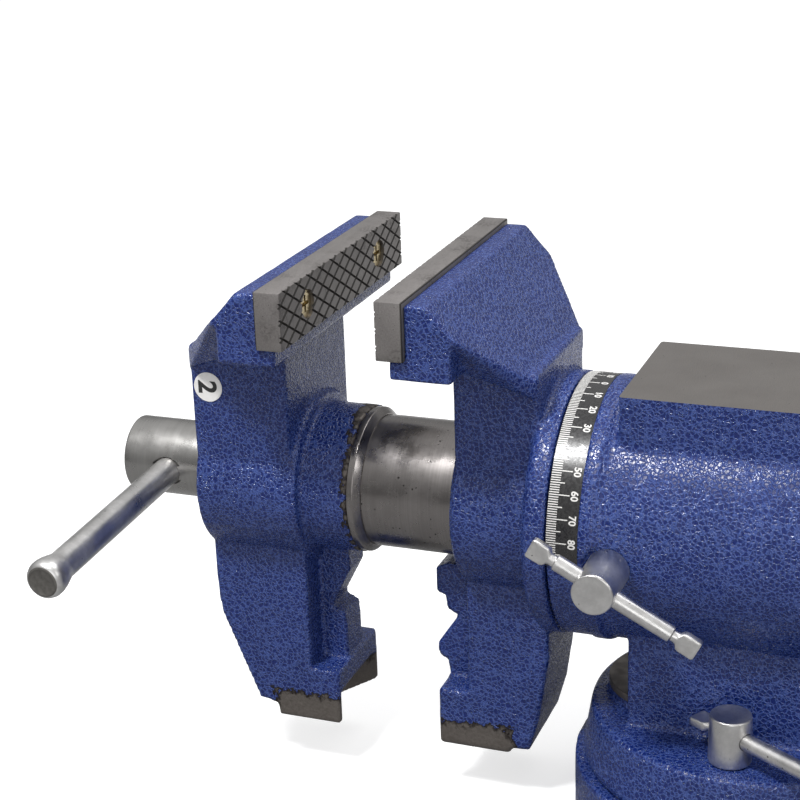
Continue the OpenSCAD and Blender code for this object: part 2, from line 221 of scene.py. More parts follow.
class Graph:
    """Adds shader nodes to one new material."""

    def __init__(self, name):
        self.material = bpy.data.materials.new(name)
        self.material.use_nodes = True
        self.tree = self.material.node_tree
        self.tree.nodes.clear()
        self.shader = self.add("ShaderNodeBsdfPrincipled")
        out = self.add("ShaderNodeOutputMaterial")
        self.tree.links.new(self.shader.outputs[0], out.inputs[0])
        self.place = self.add("ShaderNodeTexCoord").outputs["Object"]

    def add(self, kind, **settings):
        node = self.tree.nodes.new(kind)
        for key, value in settings.items():
            setattr(node, key, value)
        return node

    def put(self, socket, value):
        if isinstance(value, bpy.types.NodeSocket):
            self.tree.links.new(value, socket)
        else:
            socket.default_value = value

    def set(self, **values):
        for key, value in values.items():
            if isinstance(value, tuple) and len(value) == 3:
                value = (*value, 1)
            self.put(self.shader.inputs[key.replace("_", " ")], value)

    def stretch(self, scale):
        node = self.add("ShaderNodeMapping")
        self.put(node.inputs["Vector"], self.place)
        node.inputs["Scale"].default_value = scale
        return node.outputs[0]

    def noise(self, scale, detail=3, vector=None, distortion=0, rough=0.5):
        node = self.add("ShaderNodeTexNoise")
        self.put(node.inputs["Vector"], vector or self.place)
        node.inputs["Scale"].default_value = scale
        node.inputs["Detail"].default_value = detail
        node.inputs["Roughness"].default_value = rough
        node.inputs["Distortion"].default_value = distortion
        return node.outputs["Fac"]

    def cells(self, scale, feature="F1", vector=None, output="Distance", randomness=1):
        node = self.add("ShaderNodeTexVoronoi", feature=feature)
        self.put(node.inputs["Vector"], vector or self.place)
        node.inputs["Scale"].default_value = scale
        node.inputs["Randomness"].default_value = randomness
        return node.outputs[output]

    def math(self, operation, a, b=0.0):
        node = self.add("ShaderNodeMath", operation=operation)
        self.put(node.inputs[0], a)
        self.put(node.inputs[1], b)
        return node.outputs[0]

    def step(self, value, low, high, out_low=0.0, out_high=1.0):
        """value from low to high, eased, gives out_low to out_high."""
        node = self.add("ShaderNodeMapRange", interpolation_type="SMOOTHSTEP")
        self.put(node.inputs["Value"], value)
        node.inputs["From Min"].default_value = low
        node.inputs["From Max"].default_value = high
        node.inputs["To Min"].default_value = out_low
        node.inputs["To Max"].default_value = out_high
        return node.outputs[0]

    def mix(self, factor, a, b):
        node = self.add("ShaderNodeMix", data_type="RGBA")
        self.put(node.inputs[0], factor)
        for socket, value in ((node.inputs[6], a), (node.inputs[7], b)):
            self.put(socket, (*value, 1) if isinstance(value, tuple) else value)
        return node.outputs[2]

    def blend(self, factor, a, b):
        node = self.add("ShaderNodeMix", data_type="FLOAT")
        for socket, value in zip(node.inputs[:1] + node.inputs[2:4], (factor, a, b)):
            self.put(socket, value)
        return node.outputs[0]

    def bump(self, height, depth_mm, before=None):
        node = self.add("ShaderNodeBump")
        node.inputs["Distance"].default_value = depth_mm * MM
        self.put(node.inputs["Height"], height)
        if before is not None:
            self.put(node.inputs["Normal"], before)
        return node.outputs[0]


def warped(g, scale, reach_mm):
    """The object's own place, pushed about by noise, so that cells lose their straight edges."""
    node = g.add("ShaderNodeTexNoise")
    g.put(node.inputs["Vector"], g.place)
    node.inputs["Scale"].default_value = scale
    node.inputs["Detail"].default_value = 2
    centre = g.add("ShaderNodeVectorMath", operation="SUBTRACT")
    g.put(centre.inputs[0], node.outputs["Color"])
    centre.inputs[1].default_value = (0.5, 0.5, 0.5)
    size = g.add("ShaderNodeVectorMath", operation="SCALE")
    g.put(size.inputs[0], centre.outputs[0])
    size.inputs["Scale"].default_value = reach_mm * MM
    total = g.add("ShaderNodeVectorMath", operation="ADD")
    g.put(total.inputs[0], g.place)
    g.put(total.inputs[1], size.outputs[0])
    return total.outputs[0]


def hammered_paint():
    """Blue hammered enamel: dark cells in a pale glossy net, bare iron where 'bare' is above 0."""
    g = Graph("blue_hammered_paint")
    spot = warped(g, 520, 1.9)
    edge = g.cells(470, "DISTANCE_TO_EDGE", spot)
    net = g.step(edge, 0.0, 0.24, 1, 0)
    broad = g.noise(55, 3)
    fine = g.noise(1500, 2)
    cell = g.mix(broad, (0.001, 0.007, 0.075), (0.004, 0.018, 0.15))
    line = g.mix(broad, (0.048, 0.084, 0.265), (0.07, 0.118, 0.36))
    share = g.math("MULTIPLY", net, g.step(fine, 0.3, 0.7, 0.4, 1))
    paint = g.mix(share, cell, line)
    bare = g.add("ShaderNodeAttribute", attribute_name="bare").outputs["Fac"]
    ragged = g.step(g.noise(190, 5, rough=0.65), 0.25, 0.75, -3.0 * MM, 3.0 * MM)
    edge_mm = g.math("ADD", bare, ragged)
    mask = g.step(edge_mm, -0.15 * MM, 0.15 * MM)
    near = g.step(edge_mm, 0.2 * MM, 3.5 * MM)
    grain = g.noise(900, 4)
    iron = g.mix(grain, (0.085, 0.072, 0.062), (0.2, 0.18, 0.165))
    rim = g.mix(grain, (0.006, 0.0045, 0.0045), (0.022, 0.015, 0.013))
    metal = g.mix(near, rim, iron)
    gloss = g.step(net, 0, 1, 0.28, 0.12)
    rough = g.blend(mask, gloss, g.step(grain, 0.3, 0.7, 0.38, 0.6))
    height = g.blend(mask, net, g.math("MULTIPLY", grain, 0.4))
    lumps = g.bump(g.noise(130, 3), 0.5)
    g.set(
        Base_Color=g.mix(mask, paint, metal),
        Roughness=rough,
        Metallic=g.math("MULTIPLY", mask, 0.55),
        Normal=g.bump(height, 0.24, lumps),
    )
    g.set(Specular_IOR_Level=0.5)
    return g.material


def machined_iron(name, dark, light, metallic=0.55, lines=(900, 60, 900)):
    """Ground cast iron with faint tool marks, stains and small dark pores."""
    g = Graph(name)
    marks = g.noise(1, 4, g.stretch(lines))
    stain = g.noise(38, 5, rough=0.6)
    pores = g.step(g.cells(420), 0.05, 0.16, 1, 0)
    seldom = g.step(g.noise(150, 2), 0.56, 0.66)
    pit = g.math("MULTIPLY", pores, seldom)
    tone = g.mix(stain, dark, light)
    tone = g.mix(g.step(marks, 0.35, 0.7, 0, 0.35), tone, dark)
    g.set(
        Base_Color=g.mix(pit, tone, (0.02, 0.017, 0.015)),
        Roughness=g.step(marks, 0.3, 0.7, 0.36, 0.56),
        Metallic=metallic,
        Normal=g.bump(g.math("SUBTRACT", marks, pit), 0.05),
    )
    return g.material


def turned_steel(name, dark, light, rough, along, pits=0.0, metallic=1.0):
    """Turned or ground steel. along gives the noise scales in X, Y and Z that draw its marks."""
    g = Graph(name)
    marks = g.noise(1, 4, g.stretch(along), rough=0.65)
    cloud = g.noise(60, 4, rough=0.6)
    fine = g.noise(2400, 2)
    tone = g.mix(cloud, dark, light)
    tone = g.mix(g.step(marks, 0.3, 0.75, 0.5, 0), tone, dark)
    height = g.math("ADD", g.math("MULTIPLY", marks, 0.7), g.math("MULTIPLY", fine, 0.3))
    if pits:
        spots = g.step(g.cells(330, vector=warped(g, 300, 2)), 0.08, 0.2, 1, 0)
        pit = g.math("MULTIPLY", spots, g.step(g.noise(90, 2), 0.6 - pits, 0.66 - pits))
        tone = g.mix(pit, tone, (0.015, 0.013, 0.012))
        height = g.math("SUBTRACT", height, g.math("MULTIPLY", pit, 2.0))
    g.set(
        Base_Color=tone,
        Roughness=g.step(cloud, 0.3, 0.7, rough - 0.06, rough + 0.1),
        Metallic=metallic,
        Normal=g.bump(height, 0.02),
    )
    return g.material


def plate_steel():
    """Hardened jaw steel: pale, fine-grained, with dark smudges."""
    g = Graph("jaw_plate_steel")
    grain = g.noise(1400, 3)
    smudge = g.step(g.noise(70, 4, rough=0.6), 0.55, 0.75)
    tone = g.mix(grain, (0.12, 0.11, 0.106), (0.3, 0.283, 0.276))
    speck = g.step(g.cells(500), 0.06, 0.14, 1, 0)
    dirt = g.math("MULTIPLY", speck, g.step(g.noise(120, 2), 0.45, 0.55))
    tone = g.mix(g.math("MULTIPLY", smudge, 0.35), tone, (0.11, 0.1, 0.09))
    stain = g.math("MULTIPLY", g.step(g.noise(52, 3), 0.5, 0.72), g.step(g.noise(900, 3), 0.4, 0.6))
    tone = g.mix(g.math("MULTIPLY", stain, 0.7), tone, (0.05, 0.044, 0.04))
    g.set(
        Base_Color=g.mix(dirt, tone, (0.03, 0.026, 0.022)),
        Roughness=g.step(grain, 0.3, 0.7, 0.42, 0.6),
        Metallic=0.6,
        Normal=g.bump(grain, 0.09),
    )
    return g.material


def plain(name, dark, light, rough, scale=300, metallic=0.0, depth=0.02):
    """A finish with a fine mottle."""
    g = Graph(name)
    grain = g.noise(scale, 4)
    g.set(
        Base_Color=g.mix(grain, dark, light),
        Roughness=g.step(grain, 0.3, 0.7, rough - 0.06, rough + 0.06),
        Metallic=metallic,
        Normal=g.bump(grain, depth),
    )
    return g.material


PAINT = hammered_paint()
ANVIL = machined_iron("anvil_iron", (0.12, 0.11, 0.104), (0.19, 0.178, 0.168))
IRON = machined_iron("bare_iron", (0.1, 0.09, 0.08), (0.2, 0.18, 0.165), 0.6, (200, 200, 200))
SLIDE = turned_steel(
    "slide_steel", (0.2, 0.186, 0.182), (0.36, 0.34, 0.33), 0.25, (1500, 18, 18), 0.05
)
ZINC = turned_steel(
    "bright_zinc", (0.48, 0.474, 0.468), (0.9, 0.89, 0.88), 0.33, (300, 300, 300), 0.01
)
SCREW_ZINC = turned_steel(
    "screw_head_zinc", (0.3, 0.295, 0.285), (0.46, 0.45, 0.44), 0.27, (900, 20, 20)
)
WORN_FACE = plain(
    "worn_steel_face", (0.07, 0.066, 0.06), (0.24, 0.23, 0.215), 0.5, 500, 0.7, 0.12
)
DARK_STEEL = turned_steel(
    "dark_steel", (0.03, 0.03, 0.032), (0.09, 0.088, 0.085), 0.35, (500, 500, 500)
)
YELLOW_ZINC = turned_steel(
    "yellow_zinc", (0.42, 0.34, 0.19), (0.7, 0.6, 0.38), 0.3, (400, 400, 400), 0.02
)
BRONZE = turned_steel("nut_bronze", (0.3, 0.17, 0.06), (0.55, 0.36, 0.16), 0.34, (700, 40, 40))
PLATE = plate_steel()
# Near-black: grime in the plates' grooves, and painted shadow on the plates' back edge bevel
GROOVE_GRIME_AND_GAP_SHADOW = plain("groove_grime_and_painted_gap_shadow", (0.008, 0.007, 0.006), (0.03, 0.026, 0.022), 0.7)
BAND = plain("band_black", (0.012, 0.012, 0.013), (0.035, 0.034, 0.035), 0.28, 700)
PRINT = plain("band_print", (0.62, 0.61, 0.59), (0.8, 0.79, 0.77), 0.4, 900)
PAPER = plain("sticker_paper", (0.78, 0.77, 0.76), (0.88, 0.87, 0.86), 0.45, 600)
INK = plain("sticker_ink", (0.01, 0.01, 0.012), (0.03, 0.03, 0.032), 0.5, 600)


def dress(obj, *materials):
    """Gives obj these materials and no others."""
    obj.data.materials.clear()
    for material in materials:
        obj.data.materials.append(material)
    return obj


# ---- Castings ----


def smoothed(points, edges, rounds, share=0.5):
    """points moved towards the mean of their neighbours, rounds times."""
    a, b = edges[:, 0], edges[:, 1]
    n = len(points)
    degree = np.bincount(a, minlength=n) + np.bincount(b, minlength=n)
    for _ in range(rounds):
        mean = np.empty_like(points)
        for k in range(3):
            mean[:, k] = np.bincount(a, points[b, k], n) + np.bincount(b, points[a, k], n)
        points = points + share * (mean / degree[:, None] - points)
    return points


def drawn_back(points, tree):
    """Moves points part of the way to the surface of tree, and nearly all the way at the pipe
    jaws, whose teeth are crisp."""
    fit = (points - AXIS_AT_FACE) / MM
    teeth = (abs(fit[:, 1]) < 11.5) & (abs(fit[:, 2] + 67) < 34) & (abs(fit[:, 0] + 22) < 42)
    share = np.where(teeth, 0.95, 0.55)
    for i, spot in enumerate(points):
        near = tree.find_nearest(spot, 3 * MM)[0]
        if near is not None:
            points[i] += share[i] * (np.array(near) - spot)


# How many swells of different lengths and directions are added up
WAVE_COUNT = 14


def waves(points, amount):
    """Low uneven swells, as on a sand casting."""
    total = np.zeros(len(points))
    for _ in range(WAVE_COUNT):
        way = RNG.normal(size=3)
        way *= 2 * math.pi / (RNG.uniform(9, 28) * MM * np.linalg.norm(way))
        total += np.sin(points @ way + RNG.uniform(0, 6.28))
    return amount * total / WAVE_COUNT


def casting(name, node, voxel_mm, rounds, bare, snaps, body, top=None):
    """A cast copy of a CAD node: remeshed, its edges softened, then its turned faces put back.
    bare gives each point's distance into bare metal in mm. snaps are (axis, low, high, from, to)
    in mm. top is a height that is machined flat."""
    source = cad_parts[node]
    obj = new_object(name, source.data.copy())
    bm = bmesh.new()
    bm.from_mesh(obj.data)
    bmesh.ops.remove_doubles(bm, verts=bm.verts, dist=2e-6)
    if top is not None:
        for v in bm.verts:
            if v.co.z > top - 1e-5:
                v.co.z += 6 * MM
    bm.to_mesh(obj.data)
    tree = BVHTree.FromBMesh(bm)
    bm.free()
    remesh = obj.modifiers.new("remesh", "REMESH")
    remesh.mode = "VOXEL"
    remesh.voxel_size = voxel_mm * MM
    applied(obj)
    mesh = obj.data
    co = np.empty(len(mesh.vertices) * 3)
    mesh.vertices.foreach_get("co", co)
    co = co.reshape(-1, 3)
    edges = np.empty(len(mesh.edges) * 2, int)
    mesh.edges.foreach_get("vertices", edges)
    co = smoothed(co, edges.reshape(-1, 2), rounds)
    drawn_back(co, tree)
    mesh.vertices.foreach_set("co", co.ravel())
    normals = np.empty(len(co) * 3)
    mesh.vertices.foreach_get("normal", normals)
    fit = (co - AXIS_AT_FACE) / MM
    depth = bare(fit)
    swell = waves(co, 0.16 * MM) - 0.12 * MM
    swell[(depth > -4) | (co[:, 2] < 1 * MM)] = 0
    snapped = np.zeros(len(co), bool)
    for axis, low, high, was, now in snaps:
        first, second, along = (1, 2, fit[:, 0]) if axis == "x" else (0, 1, co[:, 2] / MM)
        centre = np.array([0, 0, AXIS_Z]) if axis == "x" else np.zeros(3)
        offset = co - centre
        radius = np.hypot(offset[:, first], offset[:, second]) / MM
        on = (along > low) & (along < high) & (abs(radius - was) < 0.5)
        for k in (first, second):
            co[on, k] = centre[k] + offset[on, k] * now / radius[on]
        snapped |= on
    swell[snapped] = 0
    co += normals.reshape(-1, 3) * swell[:, None]
    mesh.vertices.foreach_set("co", co.ravel())
    dress(obj, PAINT, ANVIL)
    if top is not None:
        flatten_top(obj, top)
        co = np.empty(len(mesh.vertices) * 3)
        mesh.vertices.foreach_get("co", co)
        fit = (co.reshape(-1, 3) - AXIS_AT_FACE) / MM
        depth = bare(fit)
    else:
        mesh.shade_smooth()
    mesh.attributes.new("bare", "FLOAT", "POINT").data.foreach_set(
        "value", (depth * MM).astype(np.float32)
    )
    mesh.update()
    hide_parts(node)
    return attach(obj, body)


def flatten_top(obj, height):
    """Cuts obj off level at height and gives the new face the second material."""
    bm = bmesh.new()
    bm.from_mesh(obj.data)
    for face in bm.faces:
        face.smooth = True
    bmesh.ops.bisect_plane(
        bm, geom=bm.verts[:] + bm.edges[:] + bm.faces[:], dist=1e-7,
        plane_co=(0, 0, height), plane_no=(0, 0, 1), clear_outer=True,
    )
    rim = [e for e in bm.edges if e.is_boundary]
    made = bmesh.ops.edgeloop_fill(bm, edges=rim)
    for edge in rim:
        edge.smooth = False
    for face in made["faces"]:
        face.material_index = 1
        face.smooth = False
    bm.to_mesh(obj.data)
    bm.free()


def radius_of(fit):
    return np.hypot(fit[:, 1], fit[:, 2])


def bare_moving(fit):
    """Bare at the end of the boss and on the ends of the lower jaws."""
    x, z, r = fit[:, 0], fit[:, 2], radius_of(fit)
    rise = np.clip(z / np.maximum(r, 1), 0, 1)
    boss = np.where(r < 38, np.minimum(x + 35.6 + 3.5 * rise**3, 1.6), -9)
    low = np.where(x < -40, np.minimum(-109.5 - z, x + 82), -9)
    return np.maximum(np.clip(boss, -9, 9), np.clip(low, -9, 9))


def bare_fixed(fit):
    """Bare on the sleeve and on the ends of the lower jaws."""
    x, z = fit[:, 0], fit[:, 2]
    sleeve = np.where(x > 71.1, 9, -9)
    low = np.minimum(-112 - z, 44.5 - x)
    return np.maximum(sleeve, np.clip(low, -9, 9))


def bare_body(fit):
    """Bare in the bore and under the foot."""
    r = radius_of(fit)
    bore = np.where((r < 45.5) & (fit[:, 0] > 70), 9, -9)
    foot = np.where(fit[:, 2] < -118.0, 9, -9)
    return np.maximum(bore, foot)


def bare_base(fit):
    """Bare underneath and in the slot for the clamp nuts."""
    z = fit[:, 2] + AXIS_Z / MM
    r = np.hypot(fit[:, 0] + FACE_X / MM, fit[:, 1])
    return np.where((z < 0.8) | ((r < 70) & (z < 30)), 9, -9)


def castings():
    """The four castings, with bores drawn a little wide and journals a little narrow, so that
    surfaces that run on each other stay apart."""
    casting("fixed_jaw_cast", "fixed_jaw_casting", 1.45, 3, bare_fixed,
            [("x", 73, 239, 44, 43.9), ("x", 4, 241, 32.16, 32.4), ("x", 63.5, 70, 62, 62)],
            "head")
    casting("moving_jaw_cast", "moving_jaw_casting", 1.35, 3, bare_moving,
            [("x", -75, -34.5, 32.15, 32.4), ("x", -110, -76, 13.06, 13.3)], "moving_jaw")
    casting("body_cast", "body_casting", 1.5, 4, bare_body,
            [("x", 73, 239, 44.06, 44.4), ("x", 71.9, 86, 61.2, 61.1),
             ("z", 11, 30, 25, 24.8)], "body", ANVIL_Z)
    casting("base_cast", "base_casting", 1.6, 4, bare_base, [("z", 1, 30, 25.06, 25.4)], "base")


def body_pad():
    """The round machined pad in front of the body's pillar."""
    profile = [(0, 0), (0, 31), (4, 31), (4, 0)]
    obj = lathe("body_round_pad", rounded(profile, 0.7), (-38 * MM, 0, 62.05 * MM), (0, 0, 1), 96)
    dress(obj, IRON)
    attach(obj, "body")


# ---- Jaw plates ----


def slanted_bars(face_x, outward, mid_z, slope, pitch, half_width, depth, half_len):
    """V-shaped cutters across a plate's face, all at one slope."""
    run = Vector((0, math.cos(slope), math.sin(slope)))
    side = Vector((0, -math.sin(slope), math.cos(slope)))
    out = Vector((outward, 0, 0))
    blocks = []
    count = int(half_len / pitch) + 3
    for i in range(-count, count + 1):
        shift = RNG.uniform(-0.15, 0.15) * MM
        middle = Vector((face_x, i * pitch + pitch / 2 + shift, mid_z))
        ends = []
        for end in (-1, 1):
            c = middle + run * (end * 40 * MM)
            tip = side * (0.04 * MM)
            ends.append((c - out * depth - tip, c - out * depth + tip,
                         c + out * depth + side * half_width * 2,
                         c + out * depth - side * half_width * 2))
        blocks.append(ends[0] + ends[1])
    return blocks


def jaw_plate(name, node, face_x, outward, body, screws):
    """A jaw plate with crossed grooves and counterbored screw holes, its back edge painted
    near-black as the shadow in the gap to the casting.
    """
    low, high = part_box(node)
    corners = [
        Vector((x, y, z))
        for z in (low.z, high.z)
        for x, y in ((low.x, low.y), (high.x, low.y), (high.x, high.y), (low.x, high.y))
    ]
    obj = boxes(name, [corners])
    dress(obj, PLATE, GROOVE_GRIME_AND_GAP_SHADOW)
    bevel = obj.modifiers.new("bevel", "BEVEL")
    bevel.width = 0.6 * MM
    bevel.segments = 2
    applied(obj)
    back = low.x if outward > 0 else high.x
    # The bevel faces along the back edge take the near-black material: painted shadow of the gap
    # behind the plate
    for face in obj.data.polygons:
        if abs(face.center.x - back) < 0.6 * MM and abs(face.normal.x) < 0.99:
            face.material_index = 1
    middle = (low.z + high.z) / 2
    for slope, wide, deep in ((30, 0.8, 1.0), (-30, 0.55, 0.85)):
        blocks = slanted_bars(face_x, outward, middle, math.radians(slope), 13.3 * MM,
                              wide * MM, deep * MM, high.y)
        cut(obj, dress(boxes("cutter", blocks), GROOVE_GRIME_AND_GAP_SHADOW))
    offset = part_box(screws)[1].y - head_radius(screws)
    for side in (-1, 1):
        start = Vector((face_x + outward * 1 * MM, side * offset, middle))
        profile = rounded([(0, 0), (0, 6.75), (7, 6.75), (7, 4.06), (30, 4.06), (30, 0)], 0.02)
        cut(obj, dress(lathe("cutter", profile, start, (-outward, 0, 0)), IRON))
    finish_mesh(obj, 25)
    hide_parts(node)
    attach(obj, body)


def head_radius(node):
    """Radius of a screw's head, from the height of its node."""
    low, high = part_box(node)
    return (high.z - low.z) / 2


def jaw_plates():
    jaw_plate("fixed_plate", "fixed_jaw_plate", FACE_X, -1, "head", "fixed_plate_screws")
    jaw_plate("moving_plate", "moving_jaw_plate", MOVING_X, 1, "moving_jaw", "moving_plate_screws")


# ---- Degree band ----


def on_band(x, angle, radius):
    """A point on the band, with the angle from the top towards the near side."""
    return Vector((x, -radius * math.sin(angle), AXIS_Z + radius * math.cos(angle)))


# Degrees from the top of the band to the zero of its scale, towards the near side
SCALE_ZERO = 4.6


def degree_scale():
    """Ticks at each degree and a number at each ten, as thin raised print."""
    zero = math.radians(SCALE_ZERO)
    front = BAND_LOW.x + 0.15 * MM
    low, high = BAND_R - 0.05 * MM, BAND_R + 0.05 * MM
    half = 0.24 * MM / BAND_R
    ticks = []
    for degree in range(-90, 90):
        length = (9.3 if degree % 10 == 0 else 6.5 if degree % 5 == 0 else 4.4) * MM
        a = zero + math.radians(degree)
        corners = [
            on_band(x, a + s * half, r)
            for r in (low, high)
            for x, s in ((front, -1), (front + length, -1), (front + length, 1), (front, 1))
        ]
        ticks.append(corners)
    marks = boxes("band_ticks", ticks)
    dress(marks, PRINT)
    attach(marks, "body")
    for degree in range(-80, 90, 10):
        label = written(f"band_number_{degree + 90:03d}", str(abs(degree)), 4.5, 0.00012)
        a = zero + math.radians(degree)
        for v in label.data.vertices:
            radius = BAND_R + (v.co.z + 0.02 * MM)
            v.co = on_band(BAND_LOW.x + 10.2 * MM + v.co.y, a + v.co.x / BAND_R, radius)
        dress(label, PRINT)
        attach(label, "body")


def written(name, text, size_mm, weight=0.0):
    """Thin raised figures as a mesh, centred on x."""
    curve = bpy.data.curves.new(name, "FONT")
    curve.body = text
    curve.size = size_mm * MM
    curve.align_x = "CENTER"
    curve.extrude = 0.03 * MM
    curve.offset = weight
    curve.resolution_u = 6
    maker = new_object(name + "_maker", curve)
    graph = bpy.context.evaluated_depsgraph_get()
    mesh = bpy.data.meshes.new_from_object(maker.evaluated_get(graph))
    bpy.data.objects.remove(maker)
    return new_object(name, mesh)


# ---- Slide, screw and handle ----


def slide_shoulder():
    """The bare turned shoulder that carries the slide in the moving jaw's boss."""
    bore = SLIDE_R / MM + 0.06
    low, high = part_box("slide_collar")
    long = (high.x - low.x) / MM
    wide = (high.z - low.z) / 2 / MM
    profile = [(0, bore), (0, wide), (long - 3, wide), (long, bore + 0.4), (long, bore)]
    start = (low.x, 0, AXIS_Z)
    obj = tube("slide_shoulder", rounded(profile, 0.35, 3), start, 96)
    dress(obj, SLIDE)
    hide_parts("slide_collar")
    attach(obj, "moving_jaw")


def tube(name, profile, start, segments):
    """A turned ring along +X whose profile is closed on itself."""
    bm = bmesh.new()
    rings = []
    for along, radius in profile:
        ring = []
        for i in range(segments):
            a = 2 * math.pi * i / segments
            spot = Vector((along, -radius * math.sin(a), radius * math.cos(a))) * MM
            ring.append(bm.verts.new(Vector(start) + spot))
        rings.append(ring)
    for a, b in zip(rings, rings[1:] + rings[:1]):
        for i in range(segments):
            j = (i + 1) % segments
            bm.faces.new((a[i], a[j], b[j], b[i]))
    bmesh.ops.recalc_face_normals(bm, faces=bm.faces)
    mesh = bpy.data.meshes.new(name)
    bm.to_mesh(mesh)
    bm.free()
    return finish_mesh(new_object(name, mesh))


# Degrees that the handle rises towards its far end
HANDLE_SLOPE = 3


def handle_axis():
    """The middle of the cross hole in the screw's head, and the handle's direction from there
    to the far side."""
    low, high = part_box("handle_bar")
    slope = math.radians(HANDLE_SLOPE)
    direction = Vector((0, math.cos(slope), math.sin(slope)))
    return Vector(((low.x + high.x) / 2, 0, AXIS_Z)), direction


def screw_head():
    """The lead screw's round head, with the cross hole for the handle."""
    low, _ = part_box("lead_screw")
    r = head_radius("lead_screw") / MM
    start = (low.x, 0, AXIS_Z)
    profile = [(0, 0), (0, r), (48.9, r), (48.9, 13), (50.2, 13), (50.2, 0)]
    obj = lathe("screw_head", rounded(profile, 1.5, 6), start, (1, 0, 0), 96)
    middle, direction = handle_axis()
    hole = [(-32, 0), (-32, 7.1), (32, 7.1), (32, 0)]
    cutter = lathe("cutter", hole, middle, direction, 48)
    dress(obj, SCREW_ZINC)
    cut(obj, dress(cutter, SCREW_ZINC))
    for side in (-1, 1):
        flare = [(0, 0), (0, 8.6), (1.6, 7.0), (1.6, 0)]
        mouth = middle + direction * side * 18.2 * MM
        cut(obj, dress(lathe("cutter", flare, mouth + direction * side * 0.6 * MM,
                             -direction * side, 48), SCREW_ZINC))
    finish_mesh(obj)
    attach(obj, "screw")
    return obj


def screw_thread():
    """The journal and the right-handed thread of the screw."""
    low, high = fit_x(-113.5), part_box("lead_screw")[1].x
    start = fit_x(-63)
    lead, root, crest, journal = 6 * MM, 9.4 * MM, 12 * MM, 13 * MM
    segments = 48
    xs = [low, start - 1 * MM, start - 1 * MM + 1e-5]
    xs += list(np.arange(start, high, 0.5 * MM)) + [high]
    bm = bmesh.new()
    rings = []
    for k, x in enumerate(xs):
        ring = []
        for i in range(segments):
            a = 2 * math.pi * i / segments
            if k < 2:
                r = journal
            else:
                phase = ((x - start) / lead + i / segments) % 1
                rise = min(phase, 1 - phase) * 2
                r = root + (crest - root) * min(1, max(0, (rise - 0.3) / 0.4))
                ease = min(1, max(0, (high - x) / (1.5 * MM)))
                r = min(r, root + (crest - root) * (0.4 + 0.6 * ease))
            ring.append(bm.verts.new((x, -r * math.sin(a), AXIS_Z + r * math.cos(a))))
        rings.append(ring)
    skin(bm, rings)
    mesh = bpy.data.meshes.new("screw_thread")
    bm.to_mesh(mesh)
    bm.free()
    obj = finish_mesh(new_object("screw_thread", mesh), 50)
    dress(obj, SCREW_ZINC)
    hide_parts("lead_screw")
    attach(obj, "screw")


# The swollen end of the handle: (distance along the bar, radius) in mm
BULB = [
    (0, 7), (2, 7.15), (5, 8.0), (8.5, 8.9), (11.5, 9.35), (14, 9.3), (16, 8.6), (17, 7.4),
    (17.3, 6.6),
]


def handle():
    """The sliding handle, drawn out from its plain bar into a swollen end, and its far end."""
    middle, direction = handle_axis()
    near, far = -125, 58
    bulb = [(-a, r) for a, r in BULB]
    profile = [(near - 13.8, 0), (near - 13.6, 5.5)]
    profile += [(near + 3.2 + a, r) for a, r in bulb[::-1]]
    profile += [(far, 7), (far, 0)]
    obj = lathe("handle_rod", profile, middle, direction, 64)
    dress(obj, ZINC, WORN_FACE)
    for face in obj.data.polygons:
        if (face.center - middle).dot(direction) < (near - 13.4) * MM:
            face.material_index = 1
    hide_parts("handle_bar")
    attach(obj, "handle")
    profile = [(44, 0), (44, 7.05)] + [(42.3 + a, r) for a, r in BULB]
    profile += [(60.2, 5.5), (60.4, 0)]
    cap = lathe("handle_far_end", profile, middle, direction, 64)
    dress(cap, ZINC)
    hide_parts("handle_end")
    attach(cap, "handle")


# ---- Locks ----

# The flattened end of a lock bar: (distance, half width, half height, squareness) in mm
BAR_END = [
    (0, 4.2, 1.8, 6), (0.5, 4.6, 2.1, 6), (1.2, 4.75, 2.2, 6), (7.4, 4.7, 2.2, 5),
    (8.6, 4.2, 2.3, 3), (9.6, 3.1, 2.4, 0), (10.6, 2.6, 2.4, 0), (12.4, 2.6, 2.6, 0),
    (12.9, 3.2, 3.2, 0), (13.1, 3.75, 3.75, 0),
]


def lock_bar(name, node, origin, direction, up, left, right, body):
    """A sliding bar with a neck and a flattened square end at each side."""
    sections = [(a - left, w, h, q) for a, w, h, q in BAR_END]
    sections += [(right - a, w, h, q) for a, w, h, q in BAR_END[::-1]]
    obj = loft(name, sections, origin, direction, up)
    dress(obj, ZINC)
    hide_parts(node)
    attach(obj, body)


def lock_screw(name, node, foot, up, bar_way, head_mm, bar_mm, body):
    """A lock screw's head with a cross hole, on a shank that runs down its hole."""
    r, g = 9.7, 0.3
    profile = [(-11.5, 0), (-11.5, 6), (g, 6), (g, r), (g + head_mm, r - 0.3), (g + head_mm, 0)]
    obj = lathe(name, rounded(profile, 1.1, 5), foot, up, 64)
    dress(obj, ZINC)
    middle = Vector(foot) + Vector(up) * bar_mm * MM
    hole = [(-14, 0), (-14, 4.0), (14, 4.0), (14, 0)]
    # The hole's walls take the dark steel finish: painted shade inside the hole around the bar
    cut(obj, dress(lathe("cutter", hole, middle, bar_way, 40), DARK_STEEL))
    finish_mesh(obj)
    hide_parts(node)
    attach(obj, body)
    return middle


